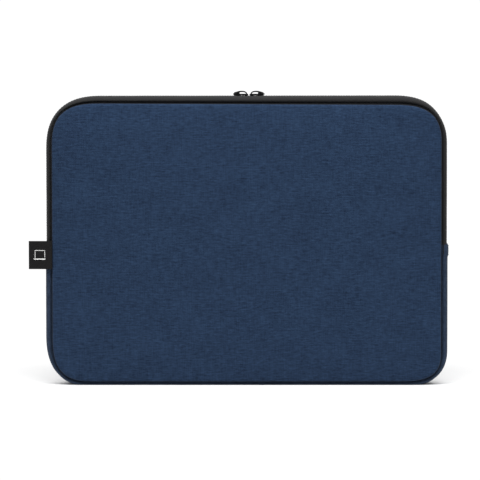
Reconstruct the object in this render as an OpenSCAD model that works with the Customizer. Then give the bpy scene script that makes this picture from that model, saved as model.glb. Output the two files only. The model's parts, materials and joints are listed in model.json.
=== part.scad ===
// Padded laptop sleeve, standing on its bottom edge, all sizes in millimetres.
// X runs across the width, Y from the front face to the back face, Z upwards.
// The origin is the centre of the flat underside of the bottom gusset.

/* [Sleeve] */
// Width over the gussets at both sides
sleeve_w = 395; // [380:1:420]
// Height over the bottom gusset and the zip
sleeve_h = 285; // [280:1:310]
// Thickness over both padded panels, empty
sleeve_d = 26; // [24:0.5:32]
// Radius of the four corners at the outside of the gusset
corner_r = 44; // [40:1:60]
// How far the gusset stands out past the edges of the panels
gusset_rise = 5; // [4.5:0.5:6]

/* [Panels] */
// Thickness of the outer fabric
fabric_t = 0.8; // [0.6:0.1:1]
// Thickness of the foam padding
foam_t = 4; // [3:0.5:5]
// Thickness of the lining
lining_t = 0.6; // [0.4:0.1:0.8]
// Height of the line along which the opened front panel folds down
fold_z = 143; // [143:0.5:170]

/* [Zip] */
// Height of the lower ends of the zip at both sides
zip_end_z = 138.5; // [110:0.5:141]
// Thickness of the woven zip tape
tape_t = 0.8; // [0.6:0.1:0.9]
// Width of one row of the nylon coil
coil_w = 2.3; // [2:0.1:2.6]
// Height of the nylon coil, which is sewn to the inner side of its tape
coil_h = 1.7; // [1.4:0.1:1.8]
// Half of the space between the two rows, where a slider's post runs
coil_gap = 0.9; // [0.8:0.05:1.1]
// Height of each fabric tab that covers a zip end
end_tab_h = 11.5; // [8:0.5:16]

/* [Sliders and pulls] */
// Where the two sliders meet when the zip is closed
meet_x = 2.2; // [-10:0.1:10]
// Length of a slider along the zip
slider_l = 12.9; // [12:0.1:14]
// Half width of a slider
slider_half = 4.4; // [4.3:0.1:4.6]
// Height of the crown above the slider's top plate
crown_h = 3.2; // [3.2:0.1:4]
// Radius of the wire of the pull's bail
wire_r = 0.45; // [0.4:0.05:0.45]
// Length of a pull tab from its pivot to its tip
pull_l = 24; // [18:1:32]
// Width of a pull tab
pull_w = 6; // [5:0.5:7]
// Angle by which a pull tab hangs below the horizontal
pull_hang = 16; // [10:1:20]
// Angle by which a bail leans down towards its slider's tail
bail_lean = 16; // [0:1:16]

/* [Side label] */
// Height of the folded ribbon label
label_h = 27.9; // [20:0.1:28]
// Height of the label's lower edge
label_z = 115; // [100:0.5:115]
// How far the label reaches out from its seam
label_w = 22; // [14:0.5:26]
// Thickness of the label's two layers
label_t = 0.5; // [0.4:0.1:0.6]

/* [Hidden] */
$fn = 96;

// Clearance between soft pieces that lie against each other
soft_gap = 0.1;
// Half of the slit that parts the folding half of the front panel from the fixed half
fold_gap = 0.1;
// Longer than anything that it has to cut
cut_size = 600;

front_y = -sleeve_d / 2;
panel_w = sleeve_w - 2 * gusset_rise;
panel_h = sleeve_h - 2 * gusset_rise;
panel_r = corner_r - gusset_rise;
// Depth from a panel's outer face to the inner face of each layer
foam_in = fabric_t + foam_t;
lining_in = foam_in + lining_t;
// Centres of the corner arcs
corner_x = sleeve_w / 2 - corner_r;
low_corner_z = corner_r;
high_corner_z = sleeve_h - corner_r;

// Levels of the zip, as distances from a corner arc's centre
tape_top = corner_r - 0.1;
tape_in = tape_top - tape_t;
coil_in = tape_in - coil_h;
// Where the gusset and the tapes meet the panels
seam_level = panel_r + soft_gap;
seam_y = sleeve_d / 2 - 1.1;
// Half width of the level part of the gusset and of the zip
crest_y = seam_y - 3.9;
shoulder_y = seam_y - 1.5;
// How much of the rise from the seam to the crest the shoulder has reached
shoulder_share = 0.62;
// Half of the slit between the two tapes
tape_edge_y = coil_gap - 0.2;
// Thickness of the lining inside the gusset
gusset_lining_t = 0.5;
// Thickness of the fabric tabs over the zip ends
end_tab_t = 0.6;

// The slider's plates, in height above the surface that the sleeve stands on
zip_z = high_corner_z;
plate_t = 1.2;
// Room between a slider's plates and the zip. The upper one keeps the hanging tab clear of the tape
top_room = 0.65;
low_room = 0.3;
top_plate_z = zip_z + tape_top + top_room;
low_plate_z = zip_z + coil_in - low_room - plate_t;
crown_z = top_plate_z + plate_t;
slider_nose = 0.6;
slider_tail = slider_nose + slider_l;
plate_corner = 1.6;
post_x = slider_nose + 0.6;
post_l = 3;
post_half = 0.5;
// The flange on the low plate that keeps the back coil in its channel
flange_x = slider_nose + 1.6;
flange_l = slider_l - 5;
flange_y = slider_half - 1;
flange_t = 0.7;
flange_top = zip_z + tape_in - low_room;
// The crown's arch, from the foot near the nose to the foot near the tail
crown_x0 = 1.5;
crown_x1 = 12.9;
crown_w = 2;
crown_t = 0.85;
crown_foot_l = 1.1;
crown_root = 0.4;

// The bail is a D of wire around the tail leg of the crown
bail_r = 3;
bail_x = 12.3;
bail_y = 5.95;
bail_rise = 0.75;
bail_z = crown_z + bail_rise;
bail_bend = 1;
bail_side = bail_y - bail_bend;
bail_bar = bail_r - bail_bend;

// The tab is rolled round the bail's bar, and widens from its neck to its full width
barrel_r = 1.25;
barrel_half = 2.1;
barrel_hole_r = wire_r + 0.25;
pull_t = 1.2;
pull_half = pull_w / 2;
neck_half = barrel_half - 0.2;
neck_start = 0.6;
neck_end = 3;
neck_taper = 2.5;
tip_hole_r = 1.3;

label_hinge_y = front_y - 0.3;
label_gap = 0.5;

module panel_outline(inset) {
    r = panel_r - inset;
    dx = panel_w / 2 - panel_r;
    dz = panel_h / 2 - panel_r;
    union() {
        square([2 * dx, 2 * (dz + r)], center = true);
        square([2 * (dx + r), 2 * dz], center = true);
        for (sx = [-1, 1], sz = [-1, 1])
            translate([sx * dx, sz * dz]) circle(r = r);
    }
}

// A flat layer of a panel: from is its outer depth and to its inner depth, seen from the front
module front_layer(from, to, inset) {
    translate([0, front_y + to, sleeve_h / 2])
        rotate([90, 0, 0])
            linear_extrude(height = to - from) panel_outline(inset);
}

module back_layer(from, to, inset) {
    mirror([0, 1, 0]) front_layer(from, to, inset);
}

module above_fold() {
    intersection() {
        children();
        translate([-cut_size / 2, -cut_size / 2, fold_z + fold_gap]) cube(cut_size);
    }
}

module below_fold() {
    intersection() {
        children();
        translate([-cut_size / 2, -cut_size / 2, fold_z - fold_gap - cut_size]) cube(cut_size);
    }
}

// Sweeps a section, given as [distance from the corner arc's centre, y] points, over an arch:
// a level run, two round corners and two legs that reach down to leg below the corner centres
module arch(section, leg) {
    rotate([0, -90, 0])
        linear_extrude(height = 2 * corner_x, center = true) polygon(section);
    for (side = [0, 1]) mirror([side, 0, 0]) translate([corner_x, 0, 0]) {
        rotate([90, 0, 0])
            rotate_extrude(angle = 90) mirror([0, 1]) polygon(section);
        translate([0, 0, -leg]) linear_extrude(height = leg) polygon(section);
    }
}

module upper_arch(section, end_z) {
    translate([0, 0, high_corner_z]) arch(section, high_corner_z - end_z);
}

module lower_arch(section, end_z) {
    translate([0, 0, low_corner_z])
        mirror([0, 0, 1]) arch(section, end_z - low_corner_z);
}

// Level of the shoulder of a strip whose crest is at level
function shoulder_level(level) = seam_level + shoulder_share * (level - seam_level);

// Outer face of one side, from the crest to the seam
function outer_half(level) = [
    [level, crest_y],
    [shoulder_level(level), shoulder_y],
    [seam_level, seam_y]
];

// The face that lies t further in, from the seam to the crest
function inner_half(level, t) = [
    [seam_level, seam_y - 1.3 * t],
    [shoulder_level(level) - 0.8 * t, shoulder_y - 0.8 * t],
    [level - t, crest_y - 0.4 * t]
];

function reverse_half(points) = [for (i = [len(points) - 1 : -1 : 0]) points[i]];

// The same points on the other side of the middle plane, in reverse order
function flip(points) = [for (i = [len(points) - 1 : -1 : 0]) [points[i][0], -points[i][1]]];

// A strip as wide as the sleeve, between the depths t0 and t1 below the crest's level
function full_strip(level, t0, t1) = concat(
    flip(reverse_half(inner_half(level, t0))),
    reverse_half(inner_half(level, t0)),
    inner_half(level, t1),
    flip(inner_half(level, t1))
);

// A strip on the back half only, from the zip's middle to the seam
function half_strip(level, t) = concat(
    [[level - t, tape_edge_y], [level, tape_edge_y]],
    outer_half(level),
    inner_half(level, t)
);

// One row of coil under its tape, with its inner edges taken off
function coil_section() =
    let (bevel = 0.5, y0 = coil_gap, y1 = coil_gap + coil_w)
    [[tape_in, y0 + bevel / 2], [tape_in - bevel / 2, y0], [coil_in + bevel, y0],
     [coil_in, y0 + bevel], [coil_in, y1 - bevel], [coil_in + bevel, y1],
     [tape_in - bevel / 2, y1], [tape_in, y1 - bevel / 2]];

// The tape that binds the seam allowance inside, with one corner taken off
function binding_section() =
    let (y0 = sleeve_d / 2 - lining_in + soft_gap, r0 = panel_r + soft_gap / 2,
         w = 1.9, h = 1.45, corner_w = 1.2, corner_h = 1.1)
    [[r0, y0], [r0 + h, y0], [r0 + h, y0 + w - corner_w], [r0 + h - corner_h, y0 + w],
     [r0, y0 + w]];

module front_panel_upper() color("#2c3f58") above_fold() front_layer(0, fabric_t, 0);

module front_panel_lower() color("#2c3f58") below_fold() front_layer(0, fabric_t, 0);

module front_foam_upper() color("#8a8d90") above_fold() front_layer(fabric_t, foam_in, 1);

module front_foam_lower() color("#8a8d90") below_fold() front_layer(fabric_t, foam_in, 1);

module front_lining_upper() color("#1b1d20") above_fold() front_layer(foam_in, lining_in, 0);

module front_lining_lower() color("#1b1d20") below_fold() front_layer(foam_in, lining_in, 0);

module back_panel() color("#2c3f58") back_layer(0, fabric_t, 0);

module back_foam() color("#8a8d90") back_layer(fabric_t, foam_in, 1);

module back_lining() color("#1b1d20") back_layer(foam_in, lining_in, 0);

module bottom_gusset()
    color("#303d50") lower_arch(full_strip(corner_r, 0, fabric_t), zip_end_z - soft_gap);

module gusset_lining()
    color("#1b1d20")
        lower_arch(full_strip(corner_r, fabric_t, fabric_t + gusset_lining_t), zip_end_z - soft_gap);

module zip_tape(end_z) upper_arch(half_strip(tape_top, tape_t), end_z);

module front_zip_tape()
    color("#1e2023") mirror([0, 1, 0]) zip_tape(fold_z + fold_gap);

module back_zip_tape() color("#1e2023") zip_tape(zip_end_z);

module front_zip_coil()
    color("#141517") mirror([0, 1, 0]) upper_arch(coil_section(), fold_z + fold_gap);

module back_zip_coil() color("#141517") upper_arch(coil_section(), zip_end_z);

module front_binding_upper()
    color("#17181a") mirror([0, 1, 0]) upper_arch(binding_section(), fold_z + fold_gap);

module front_binding_lower()
    color("#17181a") mirror([0, 1, 0]) lower_arch(binding_section(), fold_z - fold_gap);

module back_binding()
    color("#17181a") {
        upper_arch(binding_section(), sleeve_h / 2);
        lower_arch(binding_section(), sleeve_h / 2);
    }

// A patch of the body fabric sewn over the gusset where the zip ends, at the right side
module zip_end_tab()
    translate([corner_x, 0, zip_end_z - soft_gap - end_tab_h])
        linear_extrude(height = end_tab_h)
            polygon(full_strip(corner_r, -end_tab_t, 0));

module left_zip_end_tab() color("#2f3c4f") mirror([1, 0, 0]) zip_end_tab();

module right_zip_end_tab() color("#2f3c4f") zip_end_tab();

// The outline of a slider's plates, with its nose at the meeting point and its tail outwards
module slider_plate() {
    half = slider_half;
    side = slider_half - 0.3;
    tail_half = slider_half - plate_corner - 0.5;
    polygon([
        [slider_nose, plate_corner - half], [slider_nose + plate_corner, -half],
        [slider_tail - 2 * plate_corner, -side], [slider_tail, -tail_half],
        [slider_tail, tail_half], [slider_tail - 2 * plate_corner, side],
        [slider_nose + plate_corner, half], [slider_nose, half - plate_corner]
    ]);
}

// A flat-topped arch from x0 to x1 with its feet at z = 0; a higher power makes squarer shoulders
function crown_curve(x0, x1, height, power) =
    [for (i = [0 : 24]) let (t = i / 12 - 1)
        [(x0 + x1 + (x1 - x0) * t) / 2, height * sqrt(1 - pow(abs(t), power))]];

module crown_profile() {
    outer_power = 2.6;
    hole_power = 3;
    lap = 0.01;
    difference() {
        union() {
            polygon(crown_curve(crown_x0, crown_x1, crown_h, outer_power));
            translate([crown_x0, -crown_root]) square([crown_x1 - crown_x0, crown_root + lap]);
        }
        polygon(crown_curve(crown_x0 + crown_foot_l, crown_x1 - crown_foot_l,
                            crown_h - crown_t, hole_power));
    }
}

// Two plates, the post that parts the coils, the flange that guides the back coil, and the crown
module slider() {
    translate([0, 0, top_plate_z]) linear_extrude(height = plate_t) slider_plate();
    translate([0, 0, low_plate_z]) linear_extrude(height = plate_t) slider_plate();
    translate([post_x, -post_half, low_plate_z])
        cube([post_l, 2 * post_half, crown_z - low_plate_z]);
    translate([flange_x, flange_y, low_plate_z + plate_t / 2])
        cube([flange_l, flange_t, flange_top - low_plate_z - plate_t / 2]);
    translate([0, 0, crown_z])
        rotate([90, 0, 0]) linear_extrude(height = crown_w, center = true) crown_profile();
}

// Turns what belongs to the pull so that it leans down towards the slider's tail
module lean() {
    translate([bail_x, 0, bail_z]) rotate([0, bail_lean, 0]) children();
}

module wire_bend(r) rotate_extrude(angle = 90) translate([r, 0]) circle(r = wire_r);

module bail() {
    lean() {
        rotate([0, 0, 180]) rotate_extrude(angle = 180) translate([bail_r, 0]) circle(r = wire_r);
        for (side = [-1, 1])
            translate([side * bail_r, 0, 0]) rotate([-90, 0, 0]) cylinder(r = wire_r, h = bail_side);
        translate([bail_bar, bail_side, 0]) wire_bend(bail_bend);
        translate([-bail_bar, bail_side, 0]) rotate([0, 0, 90]) wire_bend(bail_bend);
        translate([-bail_bar, bail_y, 0]) rotate([0, 90, 0]) cylinder(r = wire_r, h = 2 * bail_bar);
    }
}

// The flat of the tab, as seen on its face, from the barrel to a round tip with a hole
module pull_flat() {
    straight = pull_l - pull_half;
    taper_end = neck_end + neck_taper;
    difference() {
        union() {
            polygon([[-neck_half, neck_start], [neck_half, neck_start], [neck_half, neck_end],
                     [pull_half, taper_end], [pull_half, straight], [-pull_half, straight],
                     [-pull_half, taper_end], [-neck_half, neck_end]]);
            translate([0, straight]) circle(r = pull_half);
        }
        translate([0, straight]) circle(r = tip_hole_r);
    }
}

// A stamped tab rolled round the bar of the bail
module pull_tab() {
    lean() translate([0, bail_y, 0]) rotate([-pull_hang, 0, 0])
        difference() {
            union() {
                rotate([0, 90, 0]) cylinder(r = barrel_r, h = 2 * barrel_half, center = true);
                translate([0, 0, -pull_t / 2]) linear_extrude(height = pull_t) pull_flat();
            }
            rotate([0, 90, 0]) cylinder(r = barrel_hole_r, h = 3 * barrel_half, center = true);
        }
}

module at_left() translate([meet_x, 0, 0]) mirror([1, 0, 0]) children();

module at_right() translate([meet_x, 0, 0]) children();

module left_slider() color("#202224") at_left() slider();

module right_slider() color("#202224") at_right() slider();

module left_pull_bail() color("#202224") at_left() bail();

module right_pull_bail() color("#202224") at_right() bail();

module left_pull_tab() color("#202224") at_left() pull_tab();

module right_pull_tab() color("#202224") at_right() pull_tab();

module side_label()
    color("#101113")
        translate([-panel_w / 2 - label_w - label_gap, label_hinge_y - label_t / 2, label_z])
            cube([label_w, label_t, label_h]);

front_panel_upper();
front_panel_lower();
front_foam_upper();
front_foam_lower();
front_lining_upper();
front_lining_lower();
back_panel();
back_foam();
back_lining();
bottom_gusset();
gusset_lining();
front_zip_tape();
back_zip_tape();
front_zip_coil();
back_zip_coil();
front_binding_upper();
front_binding_lower();
back_binding();
left_zip_end_tab();
right_zip_end_tab();
left_slider();
right_slider();
left_pull_bail();
right_pull_bail();
left_pull_tab();
right_pull_tab();
side_label();
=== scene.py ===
"""The looks of a padded laptop sleeve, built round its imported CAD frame. All lengths are in metres."""

import json
import math

import bmesh
import bpy
import numpy as np
from mathutils import Matrix, Vector, noise


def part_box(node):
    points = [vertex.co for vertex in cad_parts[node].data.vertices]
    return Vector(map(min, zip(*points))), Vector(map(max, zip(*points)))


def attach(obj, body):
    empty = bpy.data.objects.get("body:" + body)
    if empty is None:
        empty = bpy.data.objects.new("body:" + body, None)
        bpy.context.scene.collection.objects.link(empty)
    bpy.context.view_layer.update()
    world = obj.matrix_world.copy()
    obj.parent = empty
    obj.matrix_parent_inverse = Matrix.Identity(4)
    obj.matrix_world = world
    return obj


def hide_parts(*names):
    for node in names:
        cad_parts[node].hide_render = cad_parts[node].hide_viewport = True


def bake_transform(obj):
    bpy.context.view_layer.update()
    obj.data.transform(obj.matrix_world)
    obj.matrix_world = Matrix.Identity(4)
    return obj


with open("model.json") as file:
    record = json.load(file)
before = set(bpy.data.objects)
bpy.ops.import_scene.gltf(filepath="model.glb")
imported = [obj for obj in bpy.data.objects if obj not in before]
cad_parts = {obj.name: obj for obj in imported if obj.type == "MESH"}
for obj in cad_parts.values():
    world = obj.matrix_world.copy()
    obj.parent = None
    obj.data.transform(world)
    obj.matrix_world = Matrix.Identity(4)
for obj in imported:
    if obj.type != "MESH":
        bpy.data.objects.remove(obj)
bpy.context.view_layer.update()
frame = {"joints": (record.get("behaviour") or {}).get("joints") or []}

MM = 0.001

# ---------------------------------------------------------------- sizes read from the frame

joints = {j["name"]: j for j in frame["joints"]}
panel_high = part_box("back_panel")[1]
front_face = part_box("front_panel_upper")[0].y
FACE = panel_high.y
LINING_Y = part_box("back_lining")[0].y
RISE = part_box("bottom_gusset")[1].x - panel_high.x + 0.7 * MM  # how far the gusset stands out past the seam
zip_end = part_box("back_zip_tape")[0].z
tab_low, tab_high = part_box("right_zip_end_tab")
label_low, label_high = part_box("side_label")
slider_low, slider_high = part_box("right_slider")
pull_pivot = Vector(joints["right_pull_swing"]["pos_m"])
pull_lean = math.atan2(-joints["right_pull_swing"]["axis"][2], joints["right_pull_swing"]["axis"][0])

HALF_W = panel_high.x - 0.3 * MM
SEAM_TOP = panel_high.z - 1.8 * MM
SEAM_LOW = 2.7 * MM  # the loaded bottom sags on its gusset
TOP_TILT = 0.0045  # the top seam runs down towards the right by this slope
CREST_TILT = 0.001  # and the zip above it runs up by this one
RIGHT_LEAN = 0.005  # the lower right side stands out by this slope below mid height

# The corners are squarer than circles: (width, height, power) of each superellipse
UPPER_LEFT_CORNER = (52 * MM, 46 * MM, 2.95)
UPPER_RIGHT_CORNER = (48 * MM, 41 * MM, 2.8)
LOWER_RIGHT_CORNER = (44 * MM, 33 * MM, 3.1)
LOWER_LEFT_CORNER = (40 * MM, 46 * MM, 2.8)

# ---------------------------------------------------------------- the outline of the seam


class Outline:
    """The closed seam line in the XZ plane, from the bottom's middle to the right, up, left and down."""

    def __init__(self):
        def corner(sizes, sign_x, top):
            w, h, power = sizes
            t = np.linspace(0, math.pi / 2, 240)
            curve = np.stack([w * np.cos(t) ** (2 / power), h * np.sin(t) ** (2 / power)], 1)
            if top:
                return (curve + [HALF_W - w, SEAM_TOP - h]) * [sign_x, 1]
            return (curve * [1, -1] + [HALF_W - w, SEAM_LOW + h]) * [sign_x, 1]

        whole = np.concatenate([
            [[0, SEAM_LOW]],
            corner(LOWER_RIGHT_CORNER, 1, False)[::-1], corner(UPPER_RIGHT_CORNER, 1, True),
            corner(UPPER_LEFT_CORNER, -1, True)[::-1], corner(LOWER_LEFT_CORNER, -1, False),
            [[0, SEAM_LOW]],
        ])
        upness = np.clip((whole[:, 1] - SEAM_TOP + 40 * MM) / (40 * MM), 0, 1)
        whole[:, 1] -= TOP_TILT * whole[:, 0] * upness
        low = np.clip((SEAM_TOP + SEAM_LOW) / 2 - whole[:, 1], 0, None)
        whole[:, 0] += RIGHT_LEAN * low * np.clip(whole[:, 0] / HALF_W, 0, 1)
        keep = np.r_[True, np.linalg.norm(np.diff(whole, axis=0), axis=1) > 1e-7]
        self.points = whole[keep]
        self.at = np.r_[0, np.cumsum(np.linalg.norm(np.diff(self.points, axis=0), axis=1))]
        self.length = self.at[-1]

    def point(self, s):
        s = np.mod(s, self.length)
        return np.stack([np.interp(s, self.at, self.points[:, k]) for k in (0, 1)], 1)

    def normal(self, s):
        """Unit vectors in the XZ plane that point away from the sleeve."""
        reach = 2 * MM
        along = self.point(np.asarray(s) + reach) - self.point(np.asarray(s) - reach)
        along /= np.linalg.norm(along, axis=1)[:, None]
        return np.stack([along[:, 1], -along[:, 0]], 1)

    def side_at(self, z, sign):
        """How far along the line the right (1) or left (-1) side passes the height z."""
        s = np.linspace(0 if sign > 0 else self.length, self.length / 2, 4000)
        heights = np.maximum.accumulate(self.point(s - sign * 1e-9)[:, 1])
        return float(np.interp(z, heights, s))


outline = Outline()


def corner_share(s):
    """1 at the middle of a corner, 0 on the straight stretches."""
    n = np.abs(outline.normal(s))
    return np.clip(2 * n[:, 0] * n[:, 1], 0, 1)


def ripple(s, pitch, seed):
    """Seeded smooth noise from -1 to 1 along the seam."""
    return np.array([noise.noise((x / pitch, seed * 7.31, seed * 1.7)) for x in np.atleast_1d(s)])


# ---------------------------------------------------------------- mesh helpers


def make_object(name, verts, faces, cloth=None, sharp=40):
    """A smooth-shaded mesh object. cloth holds each vertex's place in the flat fabric, for its weave."""
    mesh = bpy.data.meshes.new(name)
    mesh.from_pydata([tuple(v) for v in verts], [], [tuple(f) for f in faces])
    mesh.validate()
    if cloth is not None:
        layer = mesh.attributes.new("cloth", "FLOAT_VECTOR", "POINT")
        layer.data.foreach_set("vector", np.asarray(cloth, np.float32).ravel())
    mesh.polygons.foreach_set("use_smooth", [True] * len(mesh.polygons))
    mesh.set_sharp_from_angle(angle=math.radians(sharp))
    obj = bpy.data.objects.new(name, mesh)
    bpy.context.scene.collection.objects.link(obj)
    return obj


def fix_normals(obj):
    bm = bmesh.new()
    bm.from_mesh(obj.data)
    bmesh.ops.recalc_face_normals(bm, faces=bm.faces)
    bm.to_mesh(obj.data)
    bm.free()


def grid_faces(rows, cols, close_rows=False, close_cols=True):
    faces = []
    for i in range(rows if close_rows else rows - 1):
        for j in range(cols if close_cols else cols - 1):
            a, b = i * cols + j, i * cols + (j + 1) % cols
            c, d = ((i + 1) % rows) * cols + (j + 1) % cols, ((i + 1) % rows) * cols + j
            faces.append((a, b, c, d))
    return faces


def sweep(name, start, end, section, step=2.5 * MM, shape=None, sharp=50):
    """Carries a closed section of (outward, y) points along the seam line from start to end.
    shape(s, out, y) may return changed outward and y values for the stations s."""
    closed = end - start > outline.length - MM
    count = max(2, int(round((end - start) / step)) + (0 if closed else 1))
    s = np.linspace(start, end, count, endpoint=not closed)
    section = np.asarray(section, float)
    out = np.repeat(section[None, :, 0], count, 0)
    y = np.repeat(section[None, :, 1], count, 0)
    if shape:
        out, y = shape(s, out, y)
    place, normal = outline.point(s), outline.normal(s)
    xz = place[:, None, :] + normal[:, None, :] * out[..., None]
    verts = np.stack([xz[..., 0], y, xz[..., 1]], -1).reshape(-1, 3)
    around = np.r_[0, np.cumsum(np.linalg.norm(np.diff(section, axis=0), axis=1))]
    cols = len(section)
    cloth = np.stack([np.repeat(s[:, None], cols, 1), np.repeat(around[None], count, 0), 0 * out], -1)
    faces = grid_faces(count, cols, close_rows=closed)
    if not closed:
        faces += [tuple(range(cols)), tuple(range((count - 1) * cols, count * cols))]
    obj = make_object(name, verts, faces, cloth.reshape(-1, 3), sharp)
    fix_normals(obj)
    return obj


def tube_mesh(points, radius, sides=8, closed=False):
    """Vertices and faces of a round wire or thread along points, which are close together."""
    p = np.asarray(points, float)
    tangent = np.roll(p, -1, 0) - np.roll(p, 1, 0) if closed else np.gradient(p, axis=0)
    tangent /= np.linalg.norm(tangent, axis=1)[:, None]
    up = np.array([0, 0, 1.0]) if abs(tangent[0, 2]) < 0.9 else np.array([0, 1.0, 0])
    side = np.cross(tangent[0], up)
    u = []
    for t in tangent:
        side = side - t * (side @ t)
        side = side / np.linalg.norm(side)
        u.append(side)
    u = np.array(u)
    v = np.cross(tangent, u)
    angle = np.linspace(0, 2 * math.pi, sides, endpoint=False)
    ring = u[:, None] * np.cos(angle)[None, :, None] + v[:, None] * np.sin(angle)[None, :, None]
    verts = (p[:, None] + radius * ring).reshape(-1, 3)
    faces = grid_faces(len(p), sides, close_rows=closed)
    if not closed:
        faces += [tuple(range(sides)), tuple(range((len(p) - 1) * sides, len(p) * sides))]
    return verts, faces


def tubes(name, lines, radius, sides=8, closed=False):
    """One object of separate wires or threads."""
    verts, faces = [], []
    for line in lines:
        v, f = tube_mesh(line, radius, sides, closed)
        faces += [tuple(len(verts) + i for i in face) for face in f]
        verts += list(v)
    obj = make_object(name, verts, faces, sharp=60)
    fix_normals(obj)
    return obj


def on_seam(s, out, y):
    """Points in space from their place along the seam, their distance outside it and their y."""
    s = np.asarray(s, float)
    xz = outline.point(s) + outline.normal(s) * np.broadcast_to(out, s.shape)[:, None]
    return np.stack([xz[:, 0], np.broadcast_to(y, s.shape), xz[:, 1]], 1)


def join(name, parts):
    """Joins mesh objects into one new object."""
    bm = bmesh.new()
    for part in parts:
        bm.from_mesh(part.data)
    mesh = bpy.data.meshes.new(name)
    bm.to_mesh(mesh)
    bm.free()
    for part in parts:
        old = part.data
        bpy.data.objects.remove(part)
        bpy.data.meshes.remove(old)
    mesh.set_sharp_from_angle(angle=math.radians(40))
    obj = bpy.data.objects.new(name, mesh)
    bpy.context.scene.collection.objects.link(obj)
    return obj


def bevel(obj, width):
    edges = obj.modifiers.new("edges", "BEVEL")
    edges.width = width
    edges.segments = 3
    edges.limit_method = "ANGLE"
    edges.angle_limit = math.radians(35)


def prism(name, outline_points, low, high):
    """A flat plate: an outline of (x, y) points between the heights low and high."""
    n = len(outline_points)
    verts = [(x, y, z) for z in (low, high) for x, y in outline_points]
    faces = [tuple(range(n)), tuple(range(n, 2 * n))]
    faces += [(i, (i + 1) % n, n + (i + 1) % n, n + i) for i in range(n)]
    obj = make_object(name, verts, faces)
    fix_normals(obj)
    return obj


def rounded(points, radius, steps=5):
    """A closed outline of (a, b) points with its corners rounded."""
    out = []
    n = len(points)
    for i, p in enumerate(points):
        p, before, after = Vector(p), Vector(points[i - 1]), Vector(points[(i + 1) % n])
        a, b = (before - p), (after - p)
        r = min(radius, 0.45 * a.length, 0.45 * b.length)
        start, end = p + a.normalized() * r, p + b.normalized() * r
        for k in range(steps + 1):
            t = k / steps
            out.append(tuple(start * (1 - t) ** 2 + p * (2 * t * (1 - t)) + end * t * t))
    return out


# ---------------------------------------------------------------- material helpers


class Nodes:
    """A short way to write a node tree."""

    def __init__(self, name):
        self.material = bpy.data.materials.new(name)
        self.material.use_nodes = True
        self.tree = self.material.node_tree
        self.shader = self.tree.nodes["Principled BSDF"]

    def put(self, socket, value):
        if isinstance(value, bpy.types.NodeSocket):
            self.tree.links.new(value, socket)
        else:
            socket.default_value = value

    def math(self, operation, a, b=0.0, c=0.0, clamp=False):
        made = self.tree.nodes.new("ShaderNodeMath")
        made.operation = operation
        made.use_clamp = clamp
        for socket, value in zip(made.inputs, (a, b, c)):
            self.put(socket, value)
        return made.outputs[0]

    def mix(self, share, a, b):
        """Blends two colours."""
        made = self.tree.nodes.new("ShaderNodeMix")
        made.data_type = "RGBA"
        for index, value in ((0, share), (6, a), (7, b)):
            self.put(made.inputs[index], value)
        return made.outputs[2]

    def coordinates(self, scale, cloth=True):
        """The flat fabric's coordinates, or the object's own, scaled on each axis."""
        if cloth:
            read = self.tree.nodes.new("ShaderNodeAttribute")
            read.attribute_name = "cloth"
            source = read.outputs["Vector"]
        else:
            source = self.tree.nodes.new("ShaderNodeTexCoord").outputs["Object"]
        made = self.tree.nodes.new("ShaderNodeMapping")
        made.inputs["Scale"].default_value = scale
        self.tree.links.new(source, made.inputs["Vector"])
        return made.outputs[0]

    def axis(self, vector, index):
        split = self.tree.nodes.new("ShaderNodeSeparateXYZ")
        self.tree.links.new(vector, split.inputs[0])
        return split.outputs[index]

    def noise(self, scale, detail=2.0, roughness=0.5, cloth=True):
        """Noise with features of about 1 / scale metres on each axis."""
        made = self.tree.nodes.new("ShaderNodeTexNoise")
        made.inputs["Scale"].default_value = 1
        made.inputs["Detail"].default_value = detail
        made.inputs["Roughness"].default_value = roughness
        self.tree.links.new(self.coordinates(scale, cloth), made.inputs["Vector"])
        return made.outputs["Fac"]

    def ramp(self, value, low, high, to_low=0.0, to_high=1.0):
        made = self.tree.nodes.new("ShaderNodeMapRange")
        for key, number in (("From Min", low), ("From Max", high), ("To Min", to_low), ("To Max", to_high)):
            made.inputs[key].default_value = number
        self.tree.links.new(value, made.inputs["Value"])
        return made.outputs[0]

    def wave(self, value, pitch):
        """0 to 1 and back over each pitch of the value."""
        turn = self.math("MULTIPLY", value, 2 * math.pi / pitch)
        return self.math("MULTIPLY_ADD", self.math("SINE", turn), 0.5, 0.5)

    def bump(self, height, strength, distance):
        made = self.tree.nodes.new("ShaderNodeBump")
        made.inputs["Strength"].default_value = strength
        made.inputs["Distance"].default_value = distance
        self.tree.links.new(height, made.inputs["Height"])
        self.tree.links.new(made.outputs[0], self.shader.inputs["Normal"])

    def set(self, **values):
        for key, value in values.items():
            self.put(self.shader.inputs[key.replace("_", " ")], value)


def rgb(red, green, blue):
    """A display colour of 0 to 255 values as linear light."""
    def linear(c):
        c /= 255
        return c / 12.92 if c <= 0.04045 else ((c + 0.055) / 1.055) ** 2.4
    return (linear(red), linear(green), linear(blue), 1)


def paint(obj, material):
    obj.data.materials.clear()
    obj.data.materials.append(material)


# ---------------------------------------------------------------- materials

YARN = 0.62 * MM  # spacing of the body fabric's yarns


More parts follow.
